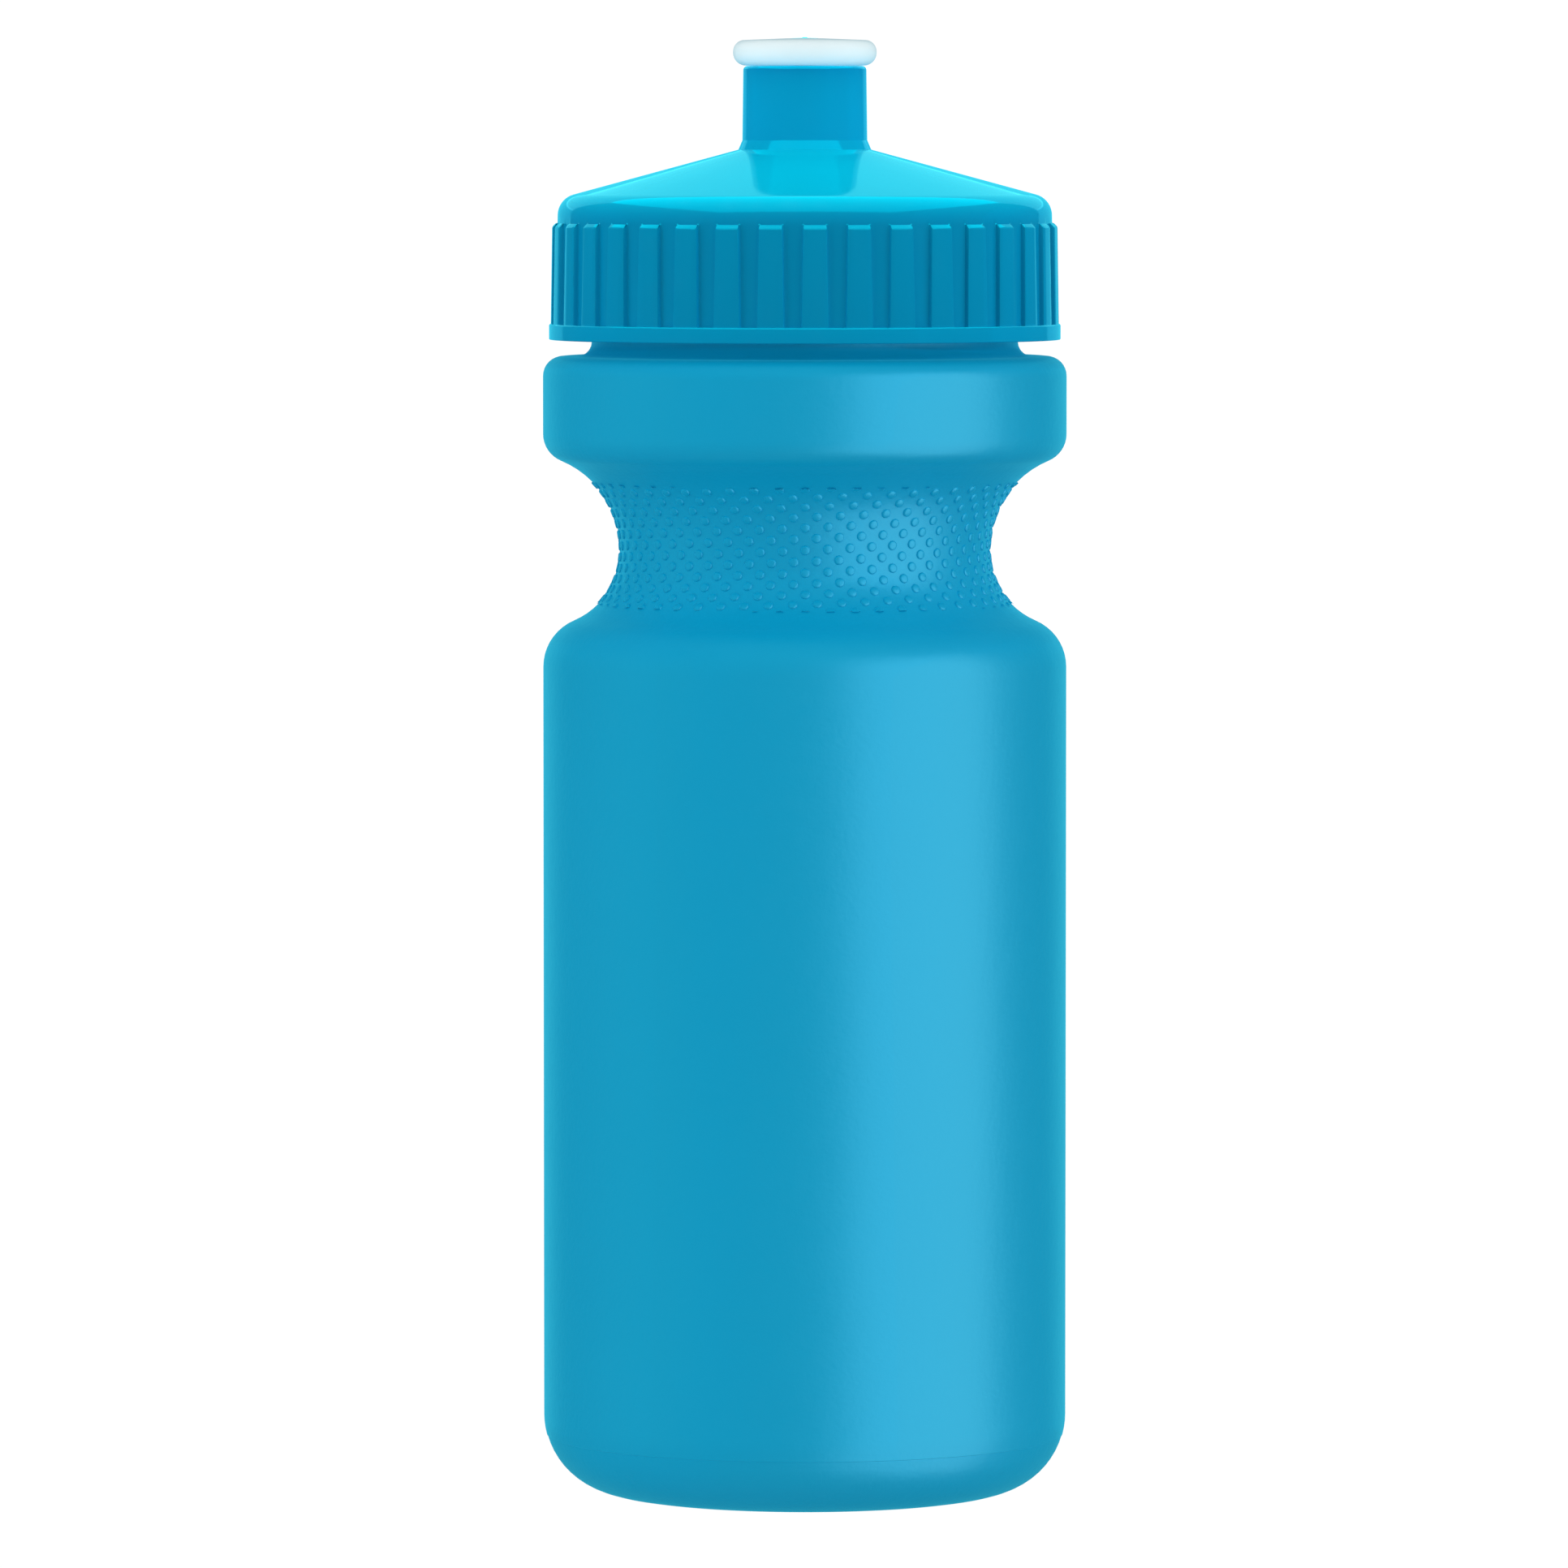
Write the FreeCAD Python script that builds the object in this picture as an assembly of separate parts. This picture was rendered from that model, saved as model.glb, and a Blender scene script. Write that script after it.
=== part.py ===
"""Sports squeeze bottle with a screw lid and a push-pull drinking valve.

Millimetres, +Z up.  The origin is the centre of the base, on the surface that the bottle
stands on, and the front of the bottle faces -Y.

Four moulded pieces, each in its own file:
  bottle_body      blow-moulded bottle: foot, straight wall, gripping waist, collar, threaded neck
  lid_gasket       soft washer between the neck's lip and the lid
  screw_lid        ribbed lid with its thread, plug ring, spout tube and sealing post
  push_pull_valve  soft mouthpiece that slides in the spout and closes on the post
"""
import FreeCAD, Part
import math
import os

V = FreeCAD.Vector
UP = V(0, 0, 1)
AXIS_FOOT = V(0, 0, 0)

# ---- bottle body -------------------------------------------------------------------------
body_radius = 36.5          # outside of the straight wall, the size that bottle cages hold
body_wall = 1.2             # thickness of the blown wall
base_corner = 10.9          # outside radius between the foot and the straight wall
foot_ring_width = 4.8       # flat ring that the bottle stands on, inside the corner
base_push_up = 3.0          # rise of the domed base at its centre
straight_top = 115.55       # height at which the straight wall ends
shoulder_round = 6.9        # convex radius above the straight wall
waist_radius = 25.75        # outside radius at the narrowest point of the grip
waist_round_below = 10.85   # concave radius below the narrowest point
waist_round_above = 13.5    # concave radius above it
collar_round_below = 4.0    # convex radius under the collar
collar_overhang = 6.8       # how far the collar stands out beyond the neck
collar_straight = 8.1       # straight part of the collar's wall
collar_round_above = 2.75   # convex radius at the collar's top edge

# ---- neck --------------------------------------------------------------------------------
neck_radius = 29.7          # outside of the neck between the threads
neck_wall = 1.6             # thickness of the neck
neck_fillet = 2.0           # concave radius where the neck leaves the collar
neck_height = 16.8          # from the collar's top to the lip
neck_thickening = 2.5       # height over which the wall grows from body to neck thickness
lip_round = 0.5             # rounding of the lip's two edges

# ---- thread ------------------------------------------------------------------------------
thread_depth = 1.8          # radial height of a ridge
thread_pitch = 5.0          # rise in one turn
thread_foot = 2.3           # axial width of a ridge at its foot
thread_crest = 1.1          # axial width of a ridge at its crest
thread_sink = 0.4           # how far a ridge's foot reaches into its wall
thread_radial_gap = 0.5     # between each crest and the wall that it faces
thread_axial_gap = 0.3      # between the two loaded flanks
neck_thread_turns = 1.5
neck_thread_height = 5.3    # centre of the ridge's lower end above the collar's top
neck_thread_angle = 200.0   # where the ridge's lower end stands round the neck
lid_thread_turns = 1.25
lid_thread_delay = 0.3      # turns from the neck ridge's lower end to the lid ridge's
opening_turns = 4           # turns that take the lid off and up clear of the neck

# ---- gasket ------------------------------------------------------------------------------
gasket_thickness = 2.0
gasket_gap = 0.3            # between the washer and the walls beside it

# ---- lid ---------------------------------------------------------------------------------
lid_rim_gap = 2.3           # between the collar's top and the lid's lower rim
skirt_wall = 2.4            # thickness of the skirt between the ribs, at its top
skirt_draft = 0.25          # growth of the skirt's radius down to the flange
flange_proud = 1.25         # how far the band round the lower rim stands out
flange_height = 2.2
crown_rise = 3.1            # sharp corner between skirt and cone, above the gasket's land
crown_round = 3.0           # rounding of that corner
cone_angle = 15.2           # slope of the lid's top
cone_wall = 2.0             # thickness of the lid's top
rim_chamfer = 0.6           # lead-in at the lower rim's bore
edge_round = 0.3            # small moulded roundings
rib_count = 36
rib_proud = 0.75            # how far a rib stands out of the skirt
rib_top_width = 3.2
rib_bottom_width = 3.8
rib_top_margin = 1.1        # from a rib's top down from where the crown's rounding starts
rib_top_slope = 0.5         # height of the sloped end at a rib's top
rib_phase = 2.2             # degrees from the front to the nearest rib
plug_gap = 0.5              # between the plug ring and the neck's bore
plug_wall = 1.4
plug_depth = 6.0            # how far the plug ring reaches below the land

# ---- spout -------------------------------------------------------------------------------
spout_radius = 8.57         # outside, at the top
spout_draft = 0.13          # growth of that radius down to the flare
spout_length = 11.47        # from the cone up to the spout's top
spout_wall = 1.27           # leaves the bore in which the valve's bead slides
spout_flare = 0.55          # how much wider the spout's foot is where it meets the cone
spout_flare_height = 1.3    # height of that flare
spout_edge_round = 0.6      # rounding of the spout's top edge, outside
catch_ring_depth = 0.4      # how far the catch ring at the top reaches into the bore
catch_ring_height = 1.4
post_tip_gap = 0.08         # between the sealing post's tip and the valve's hole
post_shoulder = 0.48        # how much wider the post is below its tip
post_tip_length = 4.5
post_proud = 0.1            # how far the tip's edge stands out of the closed valve's hole
post_crown = 0.15           # rise of the tip from its edge to its centre
web_count = 3
web_thickness = 1.5
web_height = 2.8

# ---- valve -------------------------------------------------------------------------------
valve_hole_radius = 2.2
valve_top_wall = 2.4
valve_lip_overhang = 1.43   # how far the lip stands out beyond the spout
valve_lip_height = 3.5
valve_lip_round_below = 1.8
valve_lip_round_above = 1.6
valve_crown = 0.3           # rise of the top face from the lip to the hole
valve_stem_gap = 0.25       # between the stem and the catch ring
valve_stem_wall = 1.6
valve_foot_gap = 1.2        # between the post's webs and the closed valve's stem
valve_bead_gap = 0.15       # between the bead and the spout's bore
valve_bead_height = 1.2
valve_seat_gap = 0.05       # between the closed valve and the spout's top
valve_stop_gap = 0.1        # between the bead and the catch ring when the valve is open

# ---- what follows from those sizes ----------------------------------------------------------
foot_inner_radius = body_radius - base_corner - foot_ring_width
collar_radius = neck_radius + collar_overhang
waist_height = straight_top + math.sqrt(
    (shoulder_round + waist_round_below) ** 2
    - (waist_radius + waist_round_below - body_radius + shoulder_round) ** 2)
collar_bottom = waist_height + math.sqrt(
    (waist_round_above + collar_round_below) ** 2
    - (waist_radius + waist_round_above - collar_radius + collar_round_below) ** 2)
collar_top = collar_bottom + collar_straight + collar_round_above
lip_height = collar_top + neck_height
neck_bore = neck_radius - neck_wall
neck_thread_start = collar_top + neck_thread_height

land_height = lip_height + gasket_thickness
rim_height = collar_top + lid_rim_gap
lid_bore = neck_radius + thread_depth + thread_radial_gap
skirt_radius = lid_bore + skirt_wall
flange_radius = skirt_radius + flange_proud
plug_radius = neck_bore - plug_gap
cone_slope = math.tan(math.radians(cone_angle))
crown_corner = land_height + crown_rise
flange_top = rim_height + flange_height


def cone_height(radius):
    """Height of the lid's conical top, outside, at this radius."""
    return crown_corner + (skirt_radius - radius) * cone_slope


def cone_underside(radius):
    """Height of the conical top's inner face at this radius."""
    return cone_height(radius) - cone_wall / math.cos(math.radians(cone_angle))


spout_foot_radius = spout_radius + spout_draft
spout_flare_radius = spout_foot_radius + spout_flare
flare_top = cone_height(spout_flare_radius) + spout_flare_height
spout_top = cone_height(spout_foot_radius) + spout_length
spout_bore = spout_radius - spout_wall
catch_ring_radius = spout_bore - catch_ring_depth
catch_ring_foot = spout_top - catch_ring_height
web_foot = cone_underside(spout_bore)

valve_bottom_of_lip = spout_top + valve_seat_gap
valve_top = valve_bottom_of_lip + valve_lip_height
valve_stem_foot = web_foot + web_height + valve_foot_gap
valve_stem_radius = catch_ring_radius - valve_stem_gap
valve_bead_radius = spout_bore - valve_bead_gap
valve_lip_radius = spout_radius + valve_lip_overhang
valve_travel = catch_ring_foot - (valve_stem_foot + valve_bead_height) - valve_stop_gap
post_tip_radius = valve_hole_radius - post_tip_gap
post_radius = post_tip_radius + post_shoulder


def skirt_at(height):
    """Outside radius of the drafted skirt between the ribs."""
    share = (crown_corner - height) / (crown_corner - flange_top)
    return skirt_radius + skirt_draft * share


# ---- outlines and solids of revolution --------------------------------------------------------
def point(radius, height):
    return V(radius, 0, height)


class Outline:
    """A closed outline in the XZ plane, drawn edge by edge from its first point."""

    def __init__(self, radius, height):
        self.first = point(radius, height)
        self.last = self.first
        self.edges = []

    def line(self, radius, height):
        end = point(radius, height)
        if self.last.distanceToPoint(end) > 1e-6:
            self.edges.append(Part.LineSegment(self.last, end).toShape())
        self.last = end

    def arc(self, centre_radius, centre_height, radius, height):
        """The shorter arc about a centre, from the last point to this one."""
        centre = point(centre_radius, centre_height)
        end = point(radius, height)
        middle = (self.last - centre) + (end - centre)
        middle.normalize()
        middle = centre + middle * self.last.distanceToPoint(centre)
        self.edges.append(Part.Arc(self.last, middle, end).toShape())
        self.last = end

    def turned(self):
        """The solid that the closed outline sweeps in one turn about Z."""
        self.line(self.first.x, self.first.z)
        return turn(self.edges)


def turn(edges):
    face = Part.Face(Part.Wire(edges))
    return face.revolve(AXIS_FOOT, UP, 360)


def rounded(corners):
    """Edges through corners (radius, height, rounding), closed, each corner rounded by its own arc."""
    entries = []
    for i, (radius, height, rounding) in enumerate(corners):
        here = point(radius, height)
        before = point(*corners[i - 1][:2]) - here
        after = point(*corners[(i + 1) % len(corners)][:2]) - here
        before.normalize()
        after.normalize()
        if not rounding:
            entries.append((here, None, here))
            continue
        half = before.getAngle(after) / 2
        reach = rounding / math.tan(half)
        inward = before + after
        inward.normalize()
        middle = here + inward * (rounding / math.sin(half) - rounding)
        entries.append((here + before * reach, middle, here + after * reach))
    edges = []
    for i, (start, middle, end) in enumerate(entries):
        if middle is not None:
            edges.append(Part.Arc(start, middle, end).toShape())
        following = entries[(i + 1) % len(entries)][0]
        if end.distanceToPoint(following) > 1e-6:
            edges.append(Part.LineSegment(end, following).toShape())
    return edges


# ---- threads -------------------------------------------------------------------------------
def thread_ridge(wall_radius, outward, turns):
    """A helical ridge on a wall of this radius, from height 0, starting in the +X direction.

    outward is 1 on a neck, where the ridge stands out, and -1 in a lid's bore."""
    crest = wall_radius + outward * thread_depth
    foot = wall_radius - outward * thread_sink
    widening = (thread_foot - thread_crest) / thread_depth
    foot_width = thread_foot + widening * thread_sink
    section = Part.makePolygon([
        V(foot, 0, -foot_width / 2),
        V(crest, 0, -thread_crest / 2),
        V(crest, 0, thread_crest / 2),
        V(foot, 0, foot_width / 2),
        V(foot, 0, -foot_width / 2)])
    helix = Part.Wire(Part.makeHelix(thread_pitch, thread_pitch * turns, wall_radius))
    return helix.makePipeShell([section], True, True)


def placed(shape, height, degrees):
    shape.rotate(AXIS_FOOT, UP, degrees)
    shape.translate(V(0, 0, height))
    return shape


def run_out(height):
    """A block whose flat side touches the neck in the +X direction, which ramps a ridge's end."""
    block = Part.makeBox(4 * thread_depth, neck_radius, thread_pitch)
    block.translate(V(neck_radius, -neck_radius / 2, height - thread_pitch / 2))
    return block


def neck_thread():
    """The neck's ridge, with both ends ramped down to the neck."""
    ridge = thread_ridge(neck_radius, 1, neck_thread_turns)
    lower = run_out(0)
    upper = run_out(0)
    placed(upper, thread_pitch * neck_thread_turns, 360 * neck_thread_turns)
    ridge = ridge.cut(lower).cut(upper)
    return placed(ridge, neck_thread_start, neck_thread_angle)


def lid_thread():
    """The lid's ridge, under the neck's by half of both ridges' widths and the axial gap."""
    overlap_width = thread_foot + thread_crest
    overlap_width -= (thread_foot - thread_crest) * thread_radial_gap / thread_depth
    below = overlap_width / 2 + thread_axial_gap
    ridge = thread_ridge(lid_bore, -1, lid_thread_turns)
    height = neck_thread_start - below + thread_pitch * lid_thread_delay
    return placed(ridge, height, neck_thread_angle + 360 * lid_thread_delay)


# ---- the four pieces -------------------------------------------------------------------------
def bottle_wall(outline, inset):
    """Draws the blown wall from the foot's flat ring up to the neck, inset from its outside."""
    corner = (body_radius - base_corner, base_corner)
    shoulder = (body_radius - shoulder_round, straight_top)
    below = (waist_radius + waist_round_below, waist_height)
    above = (waist_radius + waist_round_above, waist_height)
    under_collar = (collar_radius - collar_round_below, collar_bottom)
    over_collar = (collar_radius - collar_round_above, collar_top - collar_round_above)
    neck_root = (neck_radius + neck_fillet, collar_top + neck_fillet)

    def between(convex, convex_radius, concave, concave_radius):
        """Where a convex arc runs on into a concave one."""
        share = (convex_radius - inset) / (convex_radius + concave_radius)
        return (convex[0] + (concave[0] - convex[0]) * share,
                convex[1] + (concave[1] - convex[1]) * share)

    outline.line(corner[0], inset)
    outline.arc(*corner, body_radius - inset, base_corner)
    outline.line(body_radius - inset, straight_top)
    outline.arc(*shoulder, *between(shoulder, shoulder_round, below, waist_round_below))
    outline.arc(*below, waist_radius - inset, waist_height)
    outline.arc(*above, *between(under_collar, collar_round_below, above, waist_round_above))
    outline.arc(*under_collar, collar_radius - inset, collar_bottom)
    outline.line(collar_radius - inset, over_collar[1])
    outline.arc(*over_collar, over_collar[0], collar_top - inset)
    outline.line(neck_root[0], collar_top - inset)
    outline.arc(*neck_root, neck_radius - inset, neck_root[1])


def base_dome_radius():
    """Radius of the sphere that domes the base up inside the foot ring."""
    return (foot_inner_radius ** 2 + base_push_up ** 2) / (2 * base_push_up)


def bottle_solid(inset, top):
    """The body's solid within the wall's outside (inset 0) or inside (inset the wall)."""
    sphere = base_dome_radius()
    sphere_centre = base_push_up - sphere
    dome_edge = math.sqrt((sphere + inset) ** 2 - (inset - sphere_centre) ** 2)
    outline = Outline(0, base_push_up + inset)
    outline.arc(0, sphere_centre, dome_edge, inset)
    bottle_wall(outline, inset)
    if inset:
        outline.line(neck_bore, collar_top + neck_fillet + neck_thickening)
        outline.line(neck_bore, top)
    else:
        outline.line(neck_radius, top)
    outline.line(0, top)
    return outline.turned()


def bottle_body():
    lip = Outline(neck_bore, lip_height - lip_round)
    lip.line(neck_radius, lip_height - lip_round)
    lip.arc(neck_radius - lip_round, lip_height - lip_round, neck_radius - lip_round, lip_height)
    lip.line(neck_bore + lip_round, lip_height)
    lip.arc(neck_bore + lip_round, lip_height - lip_round, neck_bore, lip_height - lip_round)
    outside = bottle_solid(0, lip_height - lip_round)
    cavity = bottle_solid(body_wall, lip_height - lip_round)
    return outside.cut(cavity).fuse([lip.turned(), neck_thread()]).removeSplitter()


def lid_gasket():
    inner = plug_radius + gasket_gap
    outer = lid_bore - gasket_gap
    return turn(rounded([
        (inner, lip_height, 0),
        (outer, lip_height, 0),
        (outer, land_height, 0),
        (inner, land_height, 0)]))


def lid_shell():
    """The lid without ribs, thread, post and webs, as one turned outline."""
    plug_bore = plug_radius - plug_wall
    plug_foot = land_height - plug_depth
    return turn(rounded([
        (lid_bore + rim_chamfer, rim_height, 0),
        (flange_radius, rim_height, edge_round),
        (flange_radius, flange_top, edge_round),
        (skirt_at(flange_top), flange_top, edge_round),
        (skirt_radius, crown_corner, crown_round),
        (spout_flare_radius, cone_height(spout_flare_radius), 0),
        (spout_foot_radius, flare_top, edge_round),
        (spout_radius, spout_top, spout_edge_round),
        (catch_ring_radius, spout_top, edge_round),
        (catch_ring_radius, catch_ring_foot, 0),
        (spout_bore, catch_ring_foot - catch_ring_depth / 2, 0),
        (spout_bore, web_foot, 0),
        (plug_bore, cone_underside(plug_bore), edge_round),
        (plug_bore, plug_foot, edge_round),
        (plug_radius, plug_foot, edge_round),
        (plug_radius, land_height, 0),
        (lid_bore, land_height, 0),
        (lid_bore, rim_height + rim_chamfer, 0)]))


def rib(top):
    """One rib on the skirt's front (-Y) side, narrower at its top, which slopes back."""
    foot = flange_top - edge_round
    back = skirt_radius - rib_proud

    def section(height, width, proud):
        front = skirt_at(height) + proud
        corners = [(-width / 2, -back), (width / 2, -back), (width / 2, -front), (-width / 2, -front)]
        corners = [V(x, y, height) for x, y in corners]
        return Part.makePolygon(corners + corners[:1])

    taper = (rib_bottom_width - rib_top_width) / (top - foot)
    below_slope = top - rib_top_slope
    width = rib_top_width + taper * rib_top_slope
    stem = Part.makeLoft([section(foot, rib_bottom_width, rib_proud),
                          section(below_slope, width, rib_proud)], True, True)
    tip = Part.makeLoft([section(below_slope, width, rib_proud),
                         section(top, rib_top_width, rib_proud - rib_top_slope)], True, True)
    return stem.fuse(tip)


def lid_ribs():
    rounding_reach = crown_round * math.tan(math.radians(90 - cone_angle) / 2)
    one = rib(crown_corner - rounding_reach - rib_top_margin)
    return [placed(one.copy(), 0, rib_phase + 360 / rib_count * i) for i in range(rib_count)]


def sealing_post():
    """The post that closes the valve's hole, from the webs up to just above the valve."""
    tip = valve_top + valve_crown + post_proud
    return turn(rounded([
        (0, web_foot, 0),
        (post_radius, web_foot, edge_round),
        (post_radius, tip - post_tip_length, edge_round),
        (post_tip_radius, tip - post_tip_length + post_radius - post_tip_radius, 0),
        (post_tip_radius, tip, edge_round),
        (0, tip + post_crown, 0)]))


def post_webs():
    """Three webs that carry the post in the spout and leave the drink's way open between them."""
    reach = spout_bore + edge_round
    webs = []
    for i in range(web_count):
        web = Part.makeBox(reach, web_thickness, web_height)
        web.translate(V(0, -web_thickness / 2, web_foot))
        webs.append(placed(web, 0, 90 + 360 / web_count * i))
    return webs


def screw_lid():
    lid = lid_shell().fuse(lid_ribs())
    lid = lid.fuse([sealing_post(), *post_webs()])
    return lid.fuse(lid_thread()).removeSplitter()


def push_pull_valve():
    stem_bore = valve_stem_radius - valve_stem_wall
    bead_top = valve_stem_foot + valve_bead_height
    bead_chamfer = valve_bead_radius - valve_stem_radius
    return turn(rounded([
        (valve_hole_radius, valve_top - valve_top_wall, 0),
        (stem_bore, valve_top - valve_top_wall, 0),
        (stem_bore, valve_stem_foot, 0),
        (valve_stem_radius, valve_stem_foot, 0),
        (valve_bead_radius, valve_stem_foot + bead_chamfer, 0),
        (valve_bead_radius, bead_top, 0),
        (valve_stem_radius, bead_top, 0),
        (valve_stem_radius, valve_bottom_of_lip, 0),
        (valve_lip_radius, valve_bottom_of_lip, valve_lip_round_below),
        (valve_lip_radius, valve_top, valve_lip_round_above),
        (valve_hole_radius, valve_top + valve_crown, edge_round)]))


def main():
    os.makedirs("parts", exist_ok=True)
    pieces = {
        "bottle_body": bottle_body(),
        "lid_gasket": lid_gasket(),
        "screw_lid": screw_lid(),
        "push_pull_valve": push_pull_valve(),
    }
    for name, shape in pieces.items():
        shape.exportStep(f"parts/{name}.step")
        print(f"{name}: {len(shape.Solids)} solid, valid {shape.isValid()}, {shape.Volume / 1000:.2f} ml")
    print(f"waist {waist_height:.2f}, collar {collar_bottom:.2f} to {collar_top:.2f}, lip {lip_height:.2f}")
    print(f"lid's rim {rim_height:.2f}, spout's top {spout_top:.2f}, valve's top {valve_top:.2f}")
    print(f"valve travel {valve_travel:.2f}, lid lift {opening_turns * thread_pitch:.1f} in {opening_turns} turns")


main()
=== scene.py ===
# %% [markdown]
# # A sports squeeze bottle
# The bottle is four plastic pieces: a blown bottle, a soft washer, a screw lid and a push-pull valve.
# Each one is a turned shape first, so each starts as a circle that is pulled along its outline, and
# then gets what isn't round: the grip's dots, the threads, the lid's ribs and the post's webs.

# %% Load the frame
import math
import bmesh
import bpy
from mathutils import Matrix, Vector


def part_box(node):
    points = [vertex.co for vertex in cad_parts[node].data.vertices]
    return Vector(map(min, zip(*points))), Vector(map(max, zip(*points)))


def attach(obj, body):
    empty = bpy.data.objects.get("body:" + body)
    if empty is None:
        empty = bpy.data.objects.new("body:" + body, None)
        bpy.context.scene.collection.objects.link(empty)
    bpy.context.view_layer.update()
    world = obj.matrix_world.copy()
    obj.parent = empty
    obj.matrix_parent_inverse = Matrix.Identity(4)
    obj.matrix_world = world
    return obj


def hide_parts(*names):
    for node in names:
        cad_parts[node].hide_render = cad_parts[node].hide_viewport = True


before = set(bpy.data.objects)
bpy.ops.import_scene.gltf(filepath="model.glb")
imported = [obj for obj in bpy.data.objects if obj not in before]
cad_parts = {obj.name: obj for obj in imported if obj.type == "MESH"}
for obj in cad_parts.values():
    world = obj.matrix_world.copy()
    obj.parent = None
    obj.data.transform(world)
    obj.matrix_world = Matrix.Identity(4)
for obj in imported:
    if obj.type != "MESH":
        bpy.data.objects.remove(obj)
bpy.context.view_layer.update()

MM = 0.001
_, bottle_high = (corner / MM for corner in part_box("bottle_body"))
washer_low, washer_high = (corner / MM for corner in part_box("lid_gasket"))
lid_low, lid_high = (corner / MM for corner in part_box("screw_lid"))
valve_low, valve_high = (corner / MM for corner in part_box("push_pull_valve"))

# %% [markdown]
# ## Outlines
# All sizes below are in millimetres, as on a moulder's drawing. An outline is a list of points
# (radius, height). Round stretches could be drawn by eye, but an arc worked out from its centre
# meets its neighbours without a kink, and a glossy wall shows every kink.

# %% Arcs and rounded corners
def arc(centre, start, end, steps):
    """Points on the shorter arc about a centre, after its start and up to its end."""
    first = math.atan2(start[1] - centre[1], start[0] - centre[0])
    last = math.atan2(end[1] - centre[1], end[0] - centre[0])
    turn = (last - first + math.pi) % (2 * math.pi) - math.pi
    reach = math.dist(centre, start)
    angles = [first + turn * (i + 1) / steps for i in range(steps)]
    return [(centre[0] + reach * math.cos(a), centre[1] + reach * math.sin(a)) for a in angles]


def rounded(corners, degrees_per_step=15):
    """A closed outline through corners (radius, height, rounding), each rounded by its own arc."""
    points = []
    for i, (radius, height, rounding) in enumerate(corners):
        here = Vector((radius, height))
        if not rounding:
            points.append(tuple(here))
            continue
        before = (Vector(corners[i - 1][:2]) - here).normalized()
        after = (Vector(corners[(i + 1) % len(corners)][:2]) - here).normalized()
        half = before.angle(after) / 2
        reach = rounding / math.tan(half)
        centre = here + (before + after).normalized() * rounding / math.sin(half)
        start = here + before * reach
        steps = max(2, math.ceil((180 - math.degrees(2 * half)) / degrees_per_step))
        points += [tuple(start), *arc(centre, start, here + after * reach, steps)]
    return points


def line(start, end, steps):
    """Points along a straight stretch, after its start and up to its end."""
    return [tuple(Vector(start).lerp(Vector(end), (i + 1) / steps)) for i in range(steps)]


# %% [markdown]
# ## Working by hand, from code
# In edit mode an operator acts on what is selected, so these helpers select by place: the vertices
# or faces that pass a test, and nothing else. A turned piece could be a profile with a Screw
# modifier. Extruding a circle ring by ring gives the same surface, and leaves the rings ready to be
# picked out later for ribs and seams.

# %% Selecting and turning
def start_piece(name):
    """Names the primitive that was just added and puts its place into its mesh."""
    piece = bpy.context.object
    piece.name = piece.data.name = name
    bpy.ops.object.transform_apply(location=True, rotation=True, scale=True)
    return piece


def select(piece, kind, wanted):
    """Selects the verts, edges or faces of a piece in edit mode that pass a test."""
    modes = {"verts": "VERT", "edges": "EDGE", "faces": "FACE"}
    bpy.ops.mesh.select_mode(type=modes[kind])
    bpy.ops.mesh.select_all(action="DESELECT")
    mesh = bmesh.from_edit_mesh(piece.data)
    chosen = [element for element in getattr(mesh, kind) if wanted(element)]
    for element in chosen:
        element.select_set(True)
    mesh.select_flush_mode()
    bmesh.update_edit_mesh(piece.data)
    return len(chosen)


def radius_of(point):
    return math.hypot(point[0], point[1]) / MM


def close_at_axis():
    """Closes the selected ring with a fan of triangles to its centre."""
    bpy.ops.mesh.extrude_region_move()
    bpy.ops.mesh.merge(type="CENTER")


def turned(name, outline, segments, start_degrees=0.0):
    """A circle at the outline's first point, extruded ring by ring through the others."""
    bpy.ops.object.select_all(action="DESELECT")
    radius, height = outline[0]
    bpy.ops.mesh.primitive_circle_add(
        vertices=segments, radius=radius * MM, location=(0, 0, height * MM),
        rotation=(0, 0, math.radians(start_degrees)))
    piece = start_piece(name)
    bpy.ops.object.mode_set(mode="EDIT")
    bpy.ops.mesh.select_mode(type="EDGE")
    bpy.ops.mesh.select_all(action="SELECT")
    for next_radius, next_height in outline[1:]:
        rise = (next_height - height) * MM
        growth = next_radius / radius
        bpy.ops.mesh.extrude_region_move(TRANSFORM_OT_translate={"value": (0, 0, rise)})
        bpy.ops.transform.resize(value=(growth, growth, 1), center_override=(0, 0, next_height * MM))
        radius, height = next_radius, next_height
    return piece


def merge_and_face_out():
    """Closes the seams between rings and points every face out of the plastic."""
    bpy.ops.mesh.select_all(action="SELECT")
    bpy.ops.mesh.remove_doubles(threshold=0.002 * MM)
    bpy.ops.mesh.normals_make_consistent(inside=False)


def finish_piece(piece, sharp_degrees=35):
    """Leaves edit mode and smooths the faces that meet at less than an angle."""
    if piece.mode == "EDIT":
        bpy.ops.object.mode_set(mode="OBJECT")
    bpy.ops.object.select_all(action="DESELECT")
    piece.select_set(True)
    bpy.context.view_layer.objects.active = piece
    bpy.ops.object.shade_smooth_by_angle(angle=math.radians(sharp_degrees))
    mesh = piece.data
    mesh.calc_loop_triangles()
    open_edges = bmesh.new()
    open_edges.from_mesh(mesh)
    loose = sum(not edge.is_manifold for edge in open_edges.edges)
    open_edges.free()
    print(f"{piece.name}: {len(mesh.loop_triangles)} triangles, {loose} open edges")


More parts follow.
